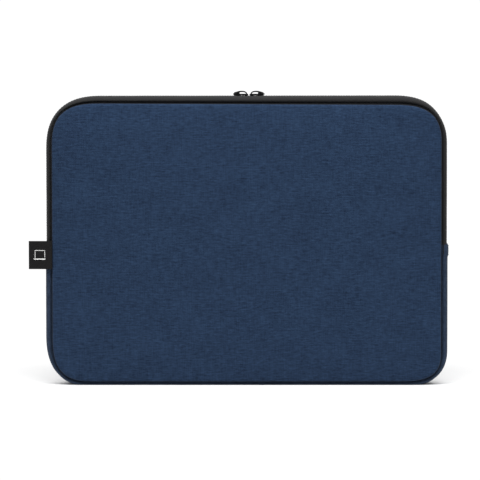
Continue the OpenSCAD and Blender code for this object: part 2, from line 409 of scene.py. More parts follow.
def melange(name, dark, light):
    """Two-tone plain weave: short streaks of lighter and darker yarn lie across the width."""
    n = Nodes(name)
    flat = n.coordinates((1, 1, 1))
    streaks = n.noise((150, 560, 1), 3.2, 0.66)
    short = n.noise((380, 1000, 1), 1.5)
    lines = n.noise((95, 950, 1), 1)
    slubs = n.noise((950, 70, 1), 1)
    patches = n.noise((26, 44, 1), 2)
    warp, weft = n.wave(n.axis(flat, 0), YARN), n.wave(n.axis(flat, 1), YARN)
    tone = n.ramp(streaks, 0.30, 0.70, 0.11, 0.47)
    tone = n.math("ADD", tone, n.ramp(short, 0.28, 0.72, 0.01, 0.21))
    tone = n.math("ADD", tone, n.ramp(lines, 0.3, 0.7, -0.06, 0.16))
    tone = n.math("ADD", tone, n.ramp(slubs, 0.3, 0.7, -0.06, 0.09))
    tone = n.math("ADD", tone, n.ramp(patches, 0.3, 0.7, -0.05, 0.06))
    weave = n.math("MAXIMUM", warp, weft)
    tone = n.math("MULTIPLY_ADD", weave, 0.16, n.math("SUBTRACT", tone, 0.12), clamp=True)
    n.set(Base_Color=n.mix(tone, dark, light), Roughness=0.9, Specular_IOR_Level=0.12)
    n.set(Sheen_Weight=0.06, Sheen_Roughness=0.5)
    n.bump(n.math("MULTIPLY_ADD", weave, 0.6, n.math("MULTIPLY", short, 0.8)), 0.5, 0.14 * MM)
    return n.material


def woven_tape(name, dark, light):
    """Fine herringbone tape with shallow ribs along it."""
    n = Nodes(name)
    flat = n.coordinates((1, 1, 1))
    zig = n.math("PINGPONG", n.axis(flat, 1), 1.1 * MM)
    twill = n.wave(n.math("ADD", n.axis(flat, 0), zig), 0.55 * MM)
    ribs = n.wave(n.axis(flat, 1), 2.2 * MM)
    grain = n.noise((500, 900, 1))
    tone = n.math("MULTIPLY_ADD", twill, 0.45, n.math("MULTIPLY", grain, 0.5), clamp=True)
    n.set(Base_Color=n.mix(tone, dark, light), Roughness=0.8, Specular_IOR_Level=0.25)
    n.set(Sheen_Weight=0.12, Sheen_Roughness=0.4)
    n.bump(n.math("MULTIPLY_ADD", twill, 0.7, n.math("MULTIPLY", ribs, 0.25)), 0.4, 0.12 * MM)
    return n.material


def brushed_lining(name, dark, light):
    """Brushed knit with a soft nap."""
    n = Nodes(name)
    nap = n.noise((700, 420, 1), 3, 0.6)
    broad = n.noise((30, 22, 1))
    tone = n.math("MULTIPLY_ADD", n.ramp(nap, 0.3, 0.7), 0.6, n.math("MULTIPLY", broad, 0.4), clamp=True)
    n.set(Base_Color=n.mix(tone, dark, light), Roughness=0.95, Specular_IOR_Level=0.15)
    n.set(Sheen_Weight=0.3, Sheen_Roughness=0.6)
    n.bump(nap, 0.5, 0.2 * MM)
    return n.material


def satin(name, dark, light):
    """Tight satin ribbon with fine ribs across it."""
    n = Nodes(name)
    flat = n.coordinates((1, 1, 1))
    ribs, warp = n.wave(n.axis(flat, 1), 0.32 * MM), n.wave(n.axis(flat, 0), 0.5 * MM)
    grain = n.noise((300, 1500, 1))
    tone = n.math("MULTIPLY_ADD", ribs, 0.4, n.math("MULTIPLY", grain, 0.5), clamp=True)
    n.set(Base_Color=n.mix(tone, dark, light), Roughness=0.62, Specular_IOR_Level=0.12)
    n.bump(n.math("MULTIPLY_ADD", ribs, 0.6, n.math("MULTIPLY", warp, 0.3)), 0.35, 0.06 * MM)
    return n.material


def nylon(name):
    n = Nodes(name)
    dust = n.noise((400, 400, 400), 3, cloth=False)
    n.set(Base_Color=n.mix(dust, rgb(24, 24, 26), rgb(44, 44, 47)), Specular_IOR_Level=0.5)
    n.set(Roughness=n.ramp(dust, 0.3, 0.7, 0.34, 0.5))
    return n.material


def lacquered(name):
    """Black enamel on cast zinc, thin enough at its edges for a little metal to show."""
    n = Nodes(name)
    geometry = n.tree.nodes.new("ShaderNodeNewGeometry")
    spots = n.noise((900, 900, 900), 3, 0.6, cloth=False)
    edges = n.ramp(geometry.outputs["Pointiness"], 0.6, 0.74)
    worn = n.math("MULTIPLY", edges, n.ramp(spots, 0.45, 0.65), clamp=True)
    n.set(Base_Color=n.mix(worn, rgb(7, 7, 8), rgb(46, 45, 44)), Specular_IOR_Level=0.12)
    n.set(Metallic=n.ramp(worn, 0, 1, 0.0, 0.8), Roughness=n.ramp(spots, 0.3, 0.7, 0.46, 0.62))
    n.bump(spots, 0.12, 0.05 * MM)
    return n.material


def sewing_thread(name, dark, light):
    n = Nodes(name)
    twist = n.noise((1500, 1500, 1500), cloth=False)
    n.set(Base_Color=n.mix(twist, dark, light), Roughness=0.7, Specular_IOR_Level=0.2)
    n.set(Sheen_Weight=0.15)
    n.bump(twist, 0.4, 0.05 * MM)
    return n.material


BODY_FABRIC = melange("body_fabric", rgb(4, 17, 37), rgb(44, 65, 93))
GUSSET_FABRIC = melange("gusset_fabric", rgb(14, 24, 38), rgb(52, 66, 88))
TAPE = woven_tape("zip_tape", rgb(12, 12, 13), rgb(32, 32, 33))
LINING = brushed_lining("lining", rgb(20, 21, 24), rgb(46, 48, 53))
BINDING = woven_tape("binding", rgb(18, 18, 20), rgb(40, 40, 43))
SATIN = satin("label_satin", rgb(10, 10, 11), rgb(30, 29, 29))
NYLON = nylon("zip_coil_nylon")
LACQUER = lacquered("black_lacquer")
DARK_THREAD = sewing_thread("dark_thread", rgb(16, 17, 20), rgb(40, 42, 47))
BLUE_THREAD = sewing_thread("blue_thread", rgb(30, 42, 62), rgb(64, 82, 110))
WHITE_THREAD = sewing_thread("white_thread", rgb(205, 205, 203), rgb(245, 245, 243))


def finish_piece(piece, material, replaced=(), body=None, bends=False):
    """Gives a piece its material and hides the CAD nodes that it stands for; parents it to the body that it
    moves with, or only bakes its transform where it bends.
    """
    paint(piece, material)
    if replaced:
        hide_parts(*replaced)
    if bends:
        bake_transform(piece)
    else:
        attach(piece, body or "root")


# ---------------------------------------------------------------- padded panels

CROWN = 1.1 * MM  # the cap on how far a point of the fabric may swell out
CELL = 6 * MM  # spacing of the points of the simulated fabric
PRESSURE = 4
STEPS = 20


def swell(side):
    """Simulates the outer fabric over its foam, held at the seam and pushed out from inside.
    Returns a function that gives the swelling at any (x, z)."""
    xs = np.arange(-HALF_W, HALF_W + CELL, CELL)
    zs = np.arange(SEAM_LOW, SEAM_TOP + CELL, CELL)
    heights = np.zeros((len(xs), len(zs)))
    ring = outline.point(np.linspace(0, outline.length, 600, endpoint=False))
    inside = {}
    for i, x in enumerate(xs):
        for j, z in enumerate(zs):
            near = float(np.min(np.hypot(ring[:, 0] - x, ring[:, 1] - z)))
            if near > CELL / 2 and ring_holds(ring, x, z):
                inside[i, j] = near
    index = {key: k for k, key in enumerate(inside)}
    verts = [(xs[i], 0, zs[j]) for i, j in inside]
    faces = []
    for i, j in inside:
        square = [(i, j), (i + 1, j), (i + 1, j + 1), (i, j + 1)]
        if all(key in index for key in square):
            faces.append([index[key] for key in square])
    sheet = make_object("swelling", verts, faces)
    fix_normals(sheet)
    if (sum(p.normal.y for p in sheet.data.polygons) > 0) != (side > 0):
        sheet.data.flip_normals()
    held = sheet.vertex_groups.new(name="held")
    held.add([index[key] for key, near in inside.items() if near < CELL * 1.6], 1, "REPLACE")
    fabric = sheet.modifiers.new("cloth", "CLOTH").settings
    fabric.quality = 6
    fabric.mass = 0.3
    fabric.tension_stiffness = 12
    fabric.compression_stiffness = 12
    fabric.bending_stiffness = 1.5
    fabric.use_pressure = True
    fabric.uniform_pressure_force = PRESSURE
    fabric.effector_weights.gravity = 0
    fabric.vertex_group_mass = "held"
    scene = bpy.context.scene
    for step in range(1, STEPS + 1):
        scene.frame_set(step)
    result = sheet.evaluated_get(bpy.context.evaluated_depsgraph_get())
    settled = result.to_mesh()
    moves = {key: settled.vertices[k].co.y * side for key, k in index.items()}
    result.to_mesh_clear()
    for (i, j), move in moves.items():
        heights[i, j] = CROWN * math.tanh(max(move, 0) / CROWN)
    scene.frame_set(1)
    mesh = sheet.data
    bpy.data.objects.remove(sheet)
    bpy.data.meshes.remove(mesh)

    def height(x, z):
        u = min(max((x - xs[0]) / CELL, 0), len(xs) - 1.001)
        v = min(max((z - zs[0]) / CELL, 0), len(zs) - 1.001)
        i, j = int(u), int(v)
        u, v = u - i, v - j
        near = heights[i, j] * (1 - u) + heights[i + 1, j] * u
        far = heights[i, j + 1] * (1 - u) + heights[i + 1, j + 1] * u
        return near * (1 - v) + far * v

    return height


def ring_holds(ring, x, z):
    """Whether the point (x, z) lies inside the closed ring of points."""
    after = np.roll(ring, -1, 0)
    spans = (ring[:, 1] > z) != (after[:, 1] > z)
    a, b = ring[spans], after[spans]
    crossings = a[:, 0] + (b[:, 0] - a[:, 0]) * (z - a[:, 1]) / (b[:, 1] - a[:, 1])
    return np.count_nonzero(crossings > x) % 2 == 1


PAD_STEP = 4 * MM
PAD_RINGS = 44
WOBBLE = 0.3 * MM  # unevenness of the padding's outer face
PUCKER = 0.14 * MM  # gathers of the fabric along its seam


def pad(name, edge, side, height=None):
    """A closed pad inside the seam line. edge lists (outward, depth) pairs from its inner face, round
    its rim, to its outer face; depth is measured from the sleeve's middle plane. side is -1 for the
    front. height gives the swelling of an outer face, which is then a little uneven and gathered too."""
    count = int(round(outline.length / PAD_STEP))
    s = np.linspace(0, outline.length, count, endpoint=False)
    place, normal = outline.point(s), outline.normal(s)
    middle = np.array([0, (SEAM_LOW + SEAM_TOP) / 2])
    gathers = (PUCKER if height else 0) * ripple(s, 8 * MM, 3 + side)
    loops = []
    inner = place + normal * edge[0][0]
    for share in np.linspace(0, 1, PAD_RINGS, endpoint=False):
        loops.append((middle * (1 - share) + inner * share, np.full(count, edge[0][1]), False))
    for out, depth in edge:
        loops.append((place + normal * out, depth + gathers * math.exp(-abs(out) / (5 * MM)), True))
    rim = place + normal * edge[-1][0]
    for k in range(1, PAD_RINGS + 1):
        share = 1 - k / PAD_RINGS
        loops.append((middle * (1 - share) + rim * share, np.full(count, edge[-1][1]), True))
    verts, cloth = [], []
    for xz, depth, outer in loops:
        for (x, z), d in zip(xz, depth):
            if outer and height:
                d += height(x, z)
                d += WOBBLE * noise.noise((x / (60 * MM), z / (50 * MM), side * 3.3))
                d += 0.3 * WOBBLE * noise.noise((x / (17 * MM), z / (21 * MM), side * 8.1))
            verts.append((x, side * d, z))
            cloth.append((x, z, 0))
    obj = make_object(name, verts, grid_faces(len(loops), count), cloth, sharp=180)
    bm = bmesh.new()
    bm.from_mesh(obj.data)
    bmesh.ops.remove_doubles(bm, verts=bm.verts, dist=0.05 * MM)
    bmesh.ops.holes_fill(bm, edges=[e for e in bm.edges if e.is_boundary], sides=0)
    bmesh.ops.recalc_face_normals(bm, faces=bm.faces)
    bm.to_mesh(obj.data)
    bm.free()
    obj.data.polygons.foreach_set("use_smooth", [True] * len(obj.data.polygons))
    return obj


# The edges of a cover and of a lining, as pad takes them
COVER_EDGE = [
    (-3.0 * MM, LINING_Y + 0.6 * MM), (-1.5 * MM, LINING_Y + 0.8 * MM), (-1.2 * MM, LINING_Y + 1.6 * MM),
    (-1.1 * MM, FACE - 3.0 * MM), (-0.95 * MM, FACE - 2.2 * MM), (-1.0 * MM, FACE - 1.5 * MM),
    (-1.25 * MM, FACE - 0.95 * MM), (-1.8 * MM, FACE - 0.45 * MM), (-2.7 * MM, FACE - 0.1 * MM),
    (-4 * MM, FACE + 0.12 * MM), (-6 * MM, FACE + 0.22 * MM), (-10 * MM, FACE + 0.25 * MM),
]
LINING_EDGE = [
    (-1.3 * MM, LINING_Y), (-0.9 * MM, LINING_Y + 0.1 * MM), (-0.8 * MM, LINING_Y + 0.3 * MM),
    (-1.0 * MM, LINING_Y + 0.5 * MM), (-2.5 * MM, LINING_Y + 0.55 * MM),
]

front_cover = pad("front_cover", COVER_EDGE, -1, swell(-1))
finish_piece(
    front_cover, BODY_FABRIC,
    ["front_panel_upper", "front_panel_lower", "front_foam_upper", "front_foam_lower"], bends=True,
)
back_cover = pad("back_cover", COVER_EDGE, 1, swell(1))
finish_piece(back_cover, BODY_FABRIC, ["back_panel", "back_foam"])
finish_piece(
    pad("front_inner_lining", LINING_EDGE, -1), LINING,
    ["front_lining_upper", "front_lining_lower"], bends=True,
)
finish_piece(pad("back_inner_lining", LINING_EDGE, 1), LINING, ["back_lining"])

# ---------------------------------------------------------------- bottom gusset and its end tabs

SEAM_Y = FACE - 2.6 * MM  # where the gusset and the tapes come out of the seam
GUSSET_T = 0.8 * MM
GUSSET_LINING_T = 0.5 * MM

# The outer face of the gusset from the front seam to its middle: (share of the rise, depth)
GUSSET_CURVE = [
    (-0.16, SEAM_Y - 2.3 * MM), (0.04, SEAM_Y - 2.1 * MM), (0.12, SEAM_Y - 1.5 * MM),
    (0.21, SEAM_Y - 0.7 * MM), (0.32, SEAM_Y - 0.15 * MM), (0.46, SEAM_Y), (0.62, SEAM_Y - 0.5 * MM),
    (0.78, SEAM_Y - 1.6 * MM), (0.90, SEAM_Y - 3.0 * MM), (0.97, SEAM_Y - 4.7 * MM),
    (1.0, SEAM_Y - 6.6 * MM), (1.0, 1.8 * MM),
]


def gusset_section(rise, t, outset=0.0, inset=0.0):
    """Outer face from the front seam over the crest to the back seam, then the inner face back."""
    outer = [(share * rise + outset, -y * (1 - inset / SEAM_Y)) for share, y in GUSSET_CURVE]
    outer += [(out, -y) for out, y in reversed(outer)]
    inner = []
    for out, y in reversed(outer):
        steep = min(abs(y) / SEAM_Y, 1) ** 6
        inner.append((out - t * (1 - 0.6 * steep), y - math.copysign(min(0.8 * t * steep, abs(y)), y)))
    return outer + inner


def gusset_shape(thickness, roughness=1.0):
    """Draws the gusset in round the corners, lets it ripple, and presses it flat on the floor."""
    def shape(s, out, y):
        share = corner_share(s)[:, None]
        high = np.clip(out / RISE, 0, 1)
        out = out * (1 - 0.34 * share)
        waves = 0.16 * ripple(s, 19 * MM, 5) + 0.09 * ripple(s, 7 * MM, 6)
        out = out + roughness * high * MM * waves[:, None] * (0.5 + 1.2 * share)
        place, normal = outline.point(s), outline.normal(s)
        down = np.clip(-normal[:, 1], 0, 1)[:, None]
        room = (place[:, 1][:, None] - 0.06 * MM) / np.maximum(down, 0.2)
        lift = np.where(np.arange(out.shape[1]) < out.shape[1] // 2, 0, thickness)[None, :]
        out = np.where(down > 0.25, np.minimum(out, room - lift), out)
        return out, y
    return shape


right_end = outline.side_at(zip_end, 1)
left_end = outline.side_at(zip_end, -1)
from_left = left_end - outline.length
gusset = sweep(
    "gusset_band", from_left, right_end, gusset_section(RISE, GUSSET_T), shape=gusset_shape(GUSSET_T)
)
finish_piece(gusset, GUSSET_FABRIC, ["bottom_gusset"])
gusset_inside = sweep(
    "gusset_inner_lining", from_left, right_end,
    gusset_section(RISE - GUSSET_T, GUSSET_LINING_T, -0.2 * MM, 1.2 * MM),
    shape=gusset_shape(GUSSET_LINING_T + GUSSET_T, 0.6), step=4 * MM,
)
finish_piece(gusset_inside, LINING, ["gusset_lining"])

# ---------------------------------------------------------------- zip

TAPE_T = 0.8 * MM
TAPE_GAP = 0.62 * MM  # from the middle plane to each tape's edge
LAP = 9 * MM  # how far the tapes run on under the end tabs
ZIP_START = outline.side_at(zip_end - LAP, 1)
ZIP_STOP = outline.side_at(zip_end - LAP, -1)
SIDE_RISE = RISE - 0.9 * MM  # how far the zip stands out past the seam down the sides
COIL_PITCH = 1.27 * MM
COIL_WIRE = 0.29 * MM  # radius of the coil's wire
COIL_HIGH = 0.52 * MM  # half height of a turn between the middles of its wire
STITCH_PITCH = 2.54 * MM
STITCH_WIRE = 0.16 * MM
TAPE_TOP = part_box("back_zip_tape")[1].z - SEAM_TOP + 0.1 * MM


def tape_section(side):
    """From the edge at the zip's middle over the level part, down into the seam and back underneath."""
    top = TAPE_TOP
    outer = [
        (top - 0.10 * MM, TAPE_GAP), (top, TAPE_GAP + 0.35 * MM), (top, 3.2 * MM), (top - 0.08 * MM, 5.2 * MM),
        (top - 0.4 * MM, 6.6 * MM), (top - 0.95 * MM, 7.8 * MM), (top - 1.7 * MM, 8.9 * MM),
        (top - 2.5 * MM, 9.7 * MM), (top - 3.3 * MM, 10.1 * MM),
        (max(top - 4.3 * MM, 2.9 * MM), 10.25 * MM), (2.2 * MM, 10.05 * MM), (1.5 * MM, 9.6 * MM),
        (1.0 * MM, 8.9 * MM), (0.6 * MM, 8.3 * MM), (-0.8 * MM, 8.0 * MM),
    ]
    inner = [(out - TAPE_T * max(0.0, 1 - (y / (10.4 * MM)) ** 5), y - TAPE_T * min(1, (y / (9 * MM)) ** 4))
             for out, y in reversed(outer[1:])]
    inner.append((top - TAPE_T, TAPE_GAP + 0.1 * MM))
    return [(out, side * y) for out, y in outer + inner]


def drawn_in(s, out):
    """Draws the zip in round the corners, levels its crest and lets it ripple slightly."""
    place, normal = outline.point(s), outline.normal(s)
    rise = 1 - (1 - SIDE_RISE / TAPE_TOP) * normal[:, 0] ** 2 - 0.28 * corner_share(s)
    waves = 0.07 * ripple(s, 21 * MM, 9) + 0.04 * ripple(s, 8 * MM, 10)
    level = (TOP_TILT + CREST_TILT) * place[:, 0] * np.clip(normal[:, 1], 0, 1) ** 4
    return out * rise + (MM * waves + level) * np.clip(out / (4 * MM), 0, 1)


def tape_shape(s, out, y):
    columns = [drawn_in(s, out[:, k]) for k in range(out.shape[1])]
    return np.stack(columns, 1), y


def coil_row(name, side):
    """One row of nylon coil under its tape: a flattened spiral whose turns mesh with the other row's."""
    per_turn = 12
    k = np.arange(int((ZIP_STOP - ZIP_START) / COIL_PITCH) * per_turn)
    angle = 2 * math.pi * k / per_turn
    s = ZIP_START + COIL_PITCH * (k / per_turn + (0.25 if side > 0 else 0.75))
    y = side * (1.45 * MM - 1.5 * MM * np.cos(angle))
    level = drawn_in(s, np.full(len(s), TAPE_TOP)) - TAPE_T - COIL_HIGH - COIL_WIRE
    return tubes(name, [on_seam(s, level + COIL_HIGH * np.sin(angle), y)], COIL_WIRE, sides=6)


def stitches(name, y):
    """A row of separate stitches along a tape, each a low arch of thread."""
    arch = np.linspace(0, 1, 6)
    lines = []
    for i in range(int((ZIP_STOP - ZIP_START) / STITCH_PITCH)):
        s = ZIP_START + STITCH_PITCH * (i + 0.1 + 0.8 * arch)
        hump = 0.14 * MM * np.sin(math.pi * arch) - 0.06 * MM
        lines.append(on_seam(s, drawn_in(s, np.full(len(s), TAPE_TOP)) + hump, y))
    return tubes(name, lines, STITCH_WIRE, sides=5)


for side, word in ((-1, "front"), (1, "back")):
    tape = sweep(f"{word}_tape", ZIP_START, ZIP_STOP, tape_section(side), shape=tape_shape, step=2.2 * MM)
    finish_piece(tape, TAPE, [f"{word}_zip_tape"], bends=side < 0)
    coil = coil_row(f"{word}_coil", side)
    finish_piece(coil, NYLON, [f"{word}_zip_coil"], bends=side < 0)
    for row, y in (("inner", 1.75 * MM), ("outer", 2.75 * MM)):
        seam = stitches(f"{word}_coil_{row}_stitches", side * y)
        finish_piece(seam, DARK_THREAD, bends=side < 0)

# The fabric tabs over the ends of the zip: a folded strip wrapped round the gusset
for sign, word in ((1, "right"), (-1, "left")):
    low, high = outline.side_at(tab_low.z, sign), outline.side_at(tab_high.z + 0.6 * MM, sign)
    start, stop = min(low, high), max(low, high)

    def tab_shape(s, out, y):
        """Puffs the tab out a little and rounds its folded edges."""
        share = (s - start) / (stop - start)
        puff = np.clip(np.sin(math.pi * np.clip(share, 0.001, 0.999)), 0, 1) ** 0.35
        high_part = np.clip(out / RISE, 0, 1)
        return out + (0.75 * puff[:, None] - 0.1) * MM * high_part ** 0.5, y * (1 + 0.012 * puff[:, None])

    tab = sweep(
        f"{word}_end_tab", start, stop, gusset_section(RISE, 0.65 * MM, 0.22 * MM),
        shape=tab_shape, step=0.6 * MM,
    )
    finish_piece(tab, GUSSET_FABRIC, [f"{word}_zip_end_tab"])
    rows = []
    for seam_at in (start + 1.6 * MM, stop - 1.6 * MM):
        for i in range(9):
            y = (-8.6 + 2.15 * i) * MM + np.linspace(-0.75, 0.75, 6) * MM
            sag = 0.9 * MM * (np.abs(y) / (8 * MM)) ** 4
            hump = 0.1 * MM * np.sin(np.linspace(0, math.pi, 6))
            rows.append(on_seam(np.full(6, seam_at), RISE + 0.85 * MM - sag + hump, y))
    finish_piece(tubes(f"{word}_end_tab_stitches", rows, 0.15 * MM, 5), BLUE_THREAD)

# ---------------------------------------------------------------- bindings inside the seams

BIND_LOW, BIND_HIGH = -1.2 * MM, 0.5 * MM


def binding_section(side):
    y0, y1 = LINING_Y - 0.35 * MM, LINING_Y + 0.6 * MM
    return [
        (BIND_LOW, side * y1), (BIND_LOW, side * y0), (BIND_LOW + 0.4 * MM, side * (y0 - 0.25 * MM)),
        (BIND_HIGH - 0.3 * MM, side * (y0 - 0.2 * MM)), (BIND_HIGH, side * (y0 + 0.15 * MM)),
        (BIND_HIGH, side * y1),
    ]


finish_piece(
    sweep("front_seam_binding", 0, outline.length, binding_section(-1), step=3 * MM), BINDING,
    ["front_binding_upper", "front_binding_lower"], bends=True,
)
finish_piece(
    sweep("back_seam_binding", 0, outline.length, binding_section(1), step=3 * MM), BINDING,
    ["back_binding"],
)

# ---------------------------------------------------------------- sliders and pulls

MEET_X = pull_pivot.x - 12.3 * MM  # where the two sliders meet
PLATE_T = 1.2 * MM
LOW_PLATE_T = 0.9 * MM
CROWN_TOP = slider_high.z
TOP_PLATE = CROWN_TOP - 4.4 * MM
LOW_PLATE = slider_low.z
NOSE, TAIL = slider_low.x - MEET_X, slider_high.x - MEET_X
HALF = slider_high.y


def arch_curve(x0, x1, height, power, count=28):
    points = []
    for i in range(count + 1):
        t = 2 * i / count - 1
        points.append(((x0 + x1 + (x1 - x0) * t) / 2, height * math.sqrt(max(0, 1 - abs(t) ** power))))
    return points


def slider(name, sign):
    """A cast slider: two plates, the post and flange between them, and an arched crown.
    Its tail points along sign."""
    corner = 1.6 * MM
    plate = [
        (NOSE, -HALF + corner), (NOSE + 0.9 * corner, -HALF), (TAIL - 2 * corner, -HALF + 0.3 * MM),
        (TAIL, -HALF + corner + 0.5 * MM), (TAIL, HALF - corner - 0.5 * MM),
        (TAIL - 2 * corner, HALF - 0.3 * MM), (NOSE + 0.9 * corner, HALF), (NOSE, HALF - corner),
    ]
    plate = rounded(plate, 1.1 * MM)
    parts = [
        prism("top", plate, TOP_PLATE, TOP_PLATE + PLATE_T),
        prism("low", plate, LOW_PLATE, LOW_PLATE + LOW_PLATE_T),
    ]
    post = rounded([(1.2 * MM, 0), (2.4 * MM, -0.5 * MM), (4.2 * MM, -0.3 * MM), (4.2 * MM, 0.3 * MM),
                    (2.4 * MM, 0.5 * MM)], 0.3 * MM)
    parts.append(prism("post", post, LOW_PLATE + 0.5 * PLATE_T, TOP_PLATE + 0.5 * PLATE_T))
    flange = [(2.2 * MM, 3.4 * MM), (10 * MM, 3.4 * MM), (10 * MM, 4.1 * MM), (2.2 * MM, 4.1 * MM)]
    flange = rounded(flange, 0.3 * MM)
    parts.append(prism("flange", flange, LOW_PLATE + 0.6 * PLATE_T, TOP_PLATE - 1.8 * MM))
    base = TOP_PLATE + PLATE_T
    crown_x0, crown_x1, crown_half, foot = 1.5 * MM, 12.9 * MM, 1 * MM, -0.4 * MM
    outer = arch_curve(crown_x0, crown_x1, CROWN_TOP - base, 2.4)
    inner = arch_curve(crown_x0 + 1.3 * MM, crown_x1 - 2.4 * MM, CROWN_TOP - base - 1.25 * MM, 2.3)
    outer, inner = ([(line[0][0], foot)] + line + [(line[-1][0], foot)] for line in (outer, inner))
    n = len(outer)
    verts = [(a, y, base + b) for y in (-crown_half, crown_half) for line in (outer, inner) for a, b in line]
    faces = []
    for i in range(n - 1):
        faces.append((i, i + 1, n + i + 1, n + i))
        faces.append((2 * n + i, 2 * n + i + 1, 3 * n + i + 1, 3 * n + i))
        faces.append((i, i + 1, 2 * n + i + 1, 2 * n + i))
        faces.append((n + i, n + i + 1, 3 * n + i + 1, 3 * n + i))
    faces += [(0, n, 3 * n, 2 * n), (n - 1, 2 * n - 1, 4 * n - 1, 3 * n - 1)]
    crown = make_object("crown", verts, faces)
    fix_normals(crown)
    parts.append(crown)
    ridge = [(NOSE + 0.2 * MM, 2.2 * MM), (2.2 * MM, 3.4 * MM), (9 * MM, 3.1 * MM), (11.6 * MM, 1.6 * MM)]
    ridge = rounded([(x, -y) for x, y in ridge] + ridge[::-1], MM)
    parts.append(prism("ridge", ridge, base - 0.3 * MM, base + 0.18 * MM))
    obj = join(name, parts)
    for v in obj.data.vertices:
        v.co.x = MEET_X + sign * v.co.x
    fix_normals(obj)
    bevel(obj, 0.2 * MM)
    return obj


def bail(name, sign):
    """The D-shaped wire that links the crown to its tab. It leans down towards the slider's tail."""
    r, wire, back, bend = 3 * MM, 0.45 * MM, pull_pivot.y, 1 * MM
    path = [(r * math.cos(a), r * math.sin(a)) for a in np.linspace(0, -math.pi, 28)]
    path += [(-r, y) for y in np.linspace(0.3 * MM, back - bend, 8)]
    turn = np.linspace(math.pi, math.pi / 2, 8)[1:]
    path += [(-r + bend + bend * math.cos(a), back - bend + bend * math.sin(a)) for a in turn]
    path += [(x, back) for x in np.linspace(-r + bend, r - bend, 9)[1:]]
    path += [(r - bend - bend * math.cos(a), back - bend + bend * math.sin(a)) for a in turn[::-1][1:]]
    path += [(r, y) for y in np.linspace(back - bend, 0.3 * MM, 8)]
    lean = Matrix.Rotation(pull_lean, 3, "Y")
    points = []
    for a, y in path:
        p = lean @ Vector((a, y, 0))
        points.append((MEET_X + sign * (pull_pivot.x - MEET_X + p.x), p.y, pull_pivot.z + p.z))
    return tubes(name, [points], wire, sides=14, closed=True)


def pull_tab(name, sign, hang):
    """A stamped tab with a raised rim and a hole at its tip, rolled round the bail's bar."""
    length, half, neck = 24 * MM, 3 * MM, 1.9 * MM
    hole_r, rim, thick, thin = 1.3 * MM, 0.75 * MM, 0.6 * MM, 0.38 * MM
    tip = length - half
    right = [(neck, 0.6 * MM), (neck, 3 * MM), (2.5 * MM, 4.4 * MM), (half, 5.6 * MM)]
    right += [(half, l) for l in np.linspace(7 * MM, tip - MM, 8)]
    right += [(half * math.cos(a), tip + half * math.sin(a)) for a in np.linspace(0, math.pi / 2, 12)]
    loop = right + [(-a, l) for a, l in reversed(right[:-1])]
    centre = Vector((0, tip))
    n = len(loop)

    def inset(amount):
        made = []
        for i, p in enumerate(loop):
            along = (Vector(loop[(i + 1) % n]) - Vector(loop[i - 1])).normalized()
            made.append(Vector(p) + Vector((-along.y, along.x)) * amount)
        return made

    def circle(r):
        return [centre + (Vector(p) - centre).normalized() * r for p in loop]

    # From the outer edge over the rim, across the recess and over the hole's collar, then back below
    upper = [
        (inset(0), thick - 0.15 * MM), (inset(0.15 * MM), thick), (inset(rim - 0.15 * MM), thick),
        (inset(rim), thin), (inset(rim + 0.08 * MM), thin), (circle(hole_r + 0.78 * MM), thin),
        (circle(hole_r + 0.7 * MM), thin), (circle(hole_r + 0.55 * MM), thick),
        (circle(hole_r + 0.12 * MM), thick), (circle(hole_r), thick - 0.12 * MM),
    ]
    rings = upper + [(points, -h) for points, h in reversed(upper)]
    verts = [(p.x, p.y, h) for points, h in rings for p in points]
    flat = make_object("flat", verts, grid_faces(len(rings), n, close_rows=True), sharp=35)
    fix_normals(flat)
    turns = np.linspace(0, 2 * math.pi, 32, endpoint=False)
    barrel_half, outer, hole, edge = 2.1 * MM, 1.25 * MM, 0.72 * MM, 0.2 * MM
    profile = [(-barrel_half, hole), (-barrel_half, outer - edge), (-barrel_half + edge, outer),
               (barrel_half - edge, outer), (barrel_half, outer - edge), (barrel_half, hole)]
    verts = [(a, r * math.cos(t), r * math.sin(t)) for t in turns for a, r in profile]
    barrel = make_object("barrel", verts, grid_faces(len(turns), len(profile), close_rows=True))
    fix_normals(barrel)
    obj = join(name, [flat, barrel])
    place = Matrix.Rotation(pull_lean, 4, "Y") @ Matrix.Rotation(-hang, 4, "X")
    for v in obj.data.vertices:
        p = place @ v.co
        v.co = (MEET_X + sign * (pull_pivot.x - MEET_X + p.x), pull_pivot.y + p.y, pull_pivot.z + p.z)
    fix_normals(obj)
    return obj


# The angle by which the tabs hang below the horizontal, as their CAD nodes do
PULL_HANG = math.radians(16)
for sign, word in ((-1, "left"), (1, "right")):
    cast = slider(f"{word}_slider_cast", sign)
    finish_piece(cast, LACQUER, [f"{word}_slider"], f"{word}_slider")
    wire = bail(f"{word}_bail_wire", sign)
    finish_piece(wire, LACQUER, [f"{word}_pull_bail"], f"{word}_slider")
    pull = pull_tab(f"{word}_pull_stamped", sign, PULL_HANG)
    finish_piece(pull, LACQUER, [f"{word}_pull_tab"], f"{word}_pull")

# ---------------------------------------------------------------- side label

LABEL_Y = (label_low.y + label_high.y) / 2
LABEL_OUT = label_low.x + 0.9 * MM
LABEL_IN = label_high.x + 1.6 * MM
RIBBON_T = 0.17 * MM  # each layer's thickness, and the gap between the two


def ribbon_path():
    """The folded ribbon seen from above: out along its front layer, round the fold and back."""
    front = [(x, -RIBBON_T) for x in np.linspace(LABEL_IN, LABEL_OUT + 0.5 * MM, 26)]
    loop = [(LABEL_OUT + 0.4 * MM + 0.4 * MM * math.cos(a), 0.3 * MM * math.sin(a))
            for a in np.linspace(-2.2, -4.1, 7)]
    back = [(x, RIBBON_T) for x in np.linspace(LABEL_OUT + 0.5 * MM, LABEL_IN, 26)]
    return np.array(front + loop + back)


def ribbon_bend(x, z):
    """The small waves of the ribbon, none at its seam."""
    free = min(max((LABEL_IN - x) / (20 * MM), 0), 1)
    return free * (0.22 * MM * math.sin(z / (8.5 * MM) + 0.8) + 0.12 * MM * math.sin(x / (3.1 * MM)))


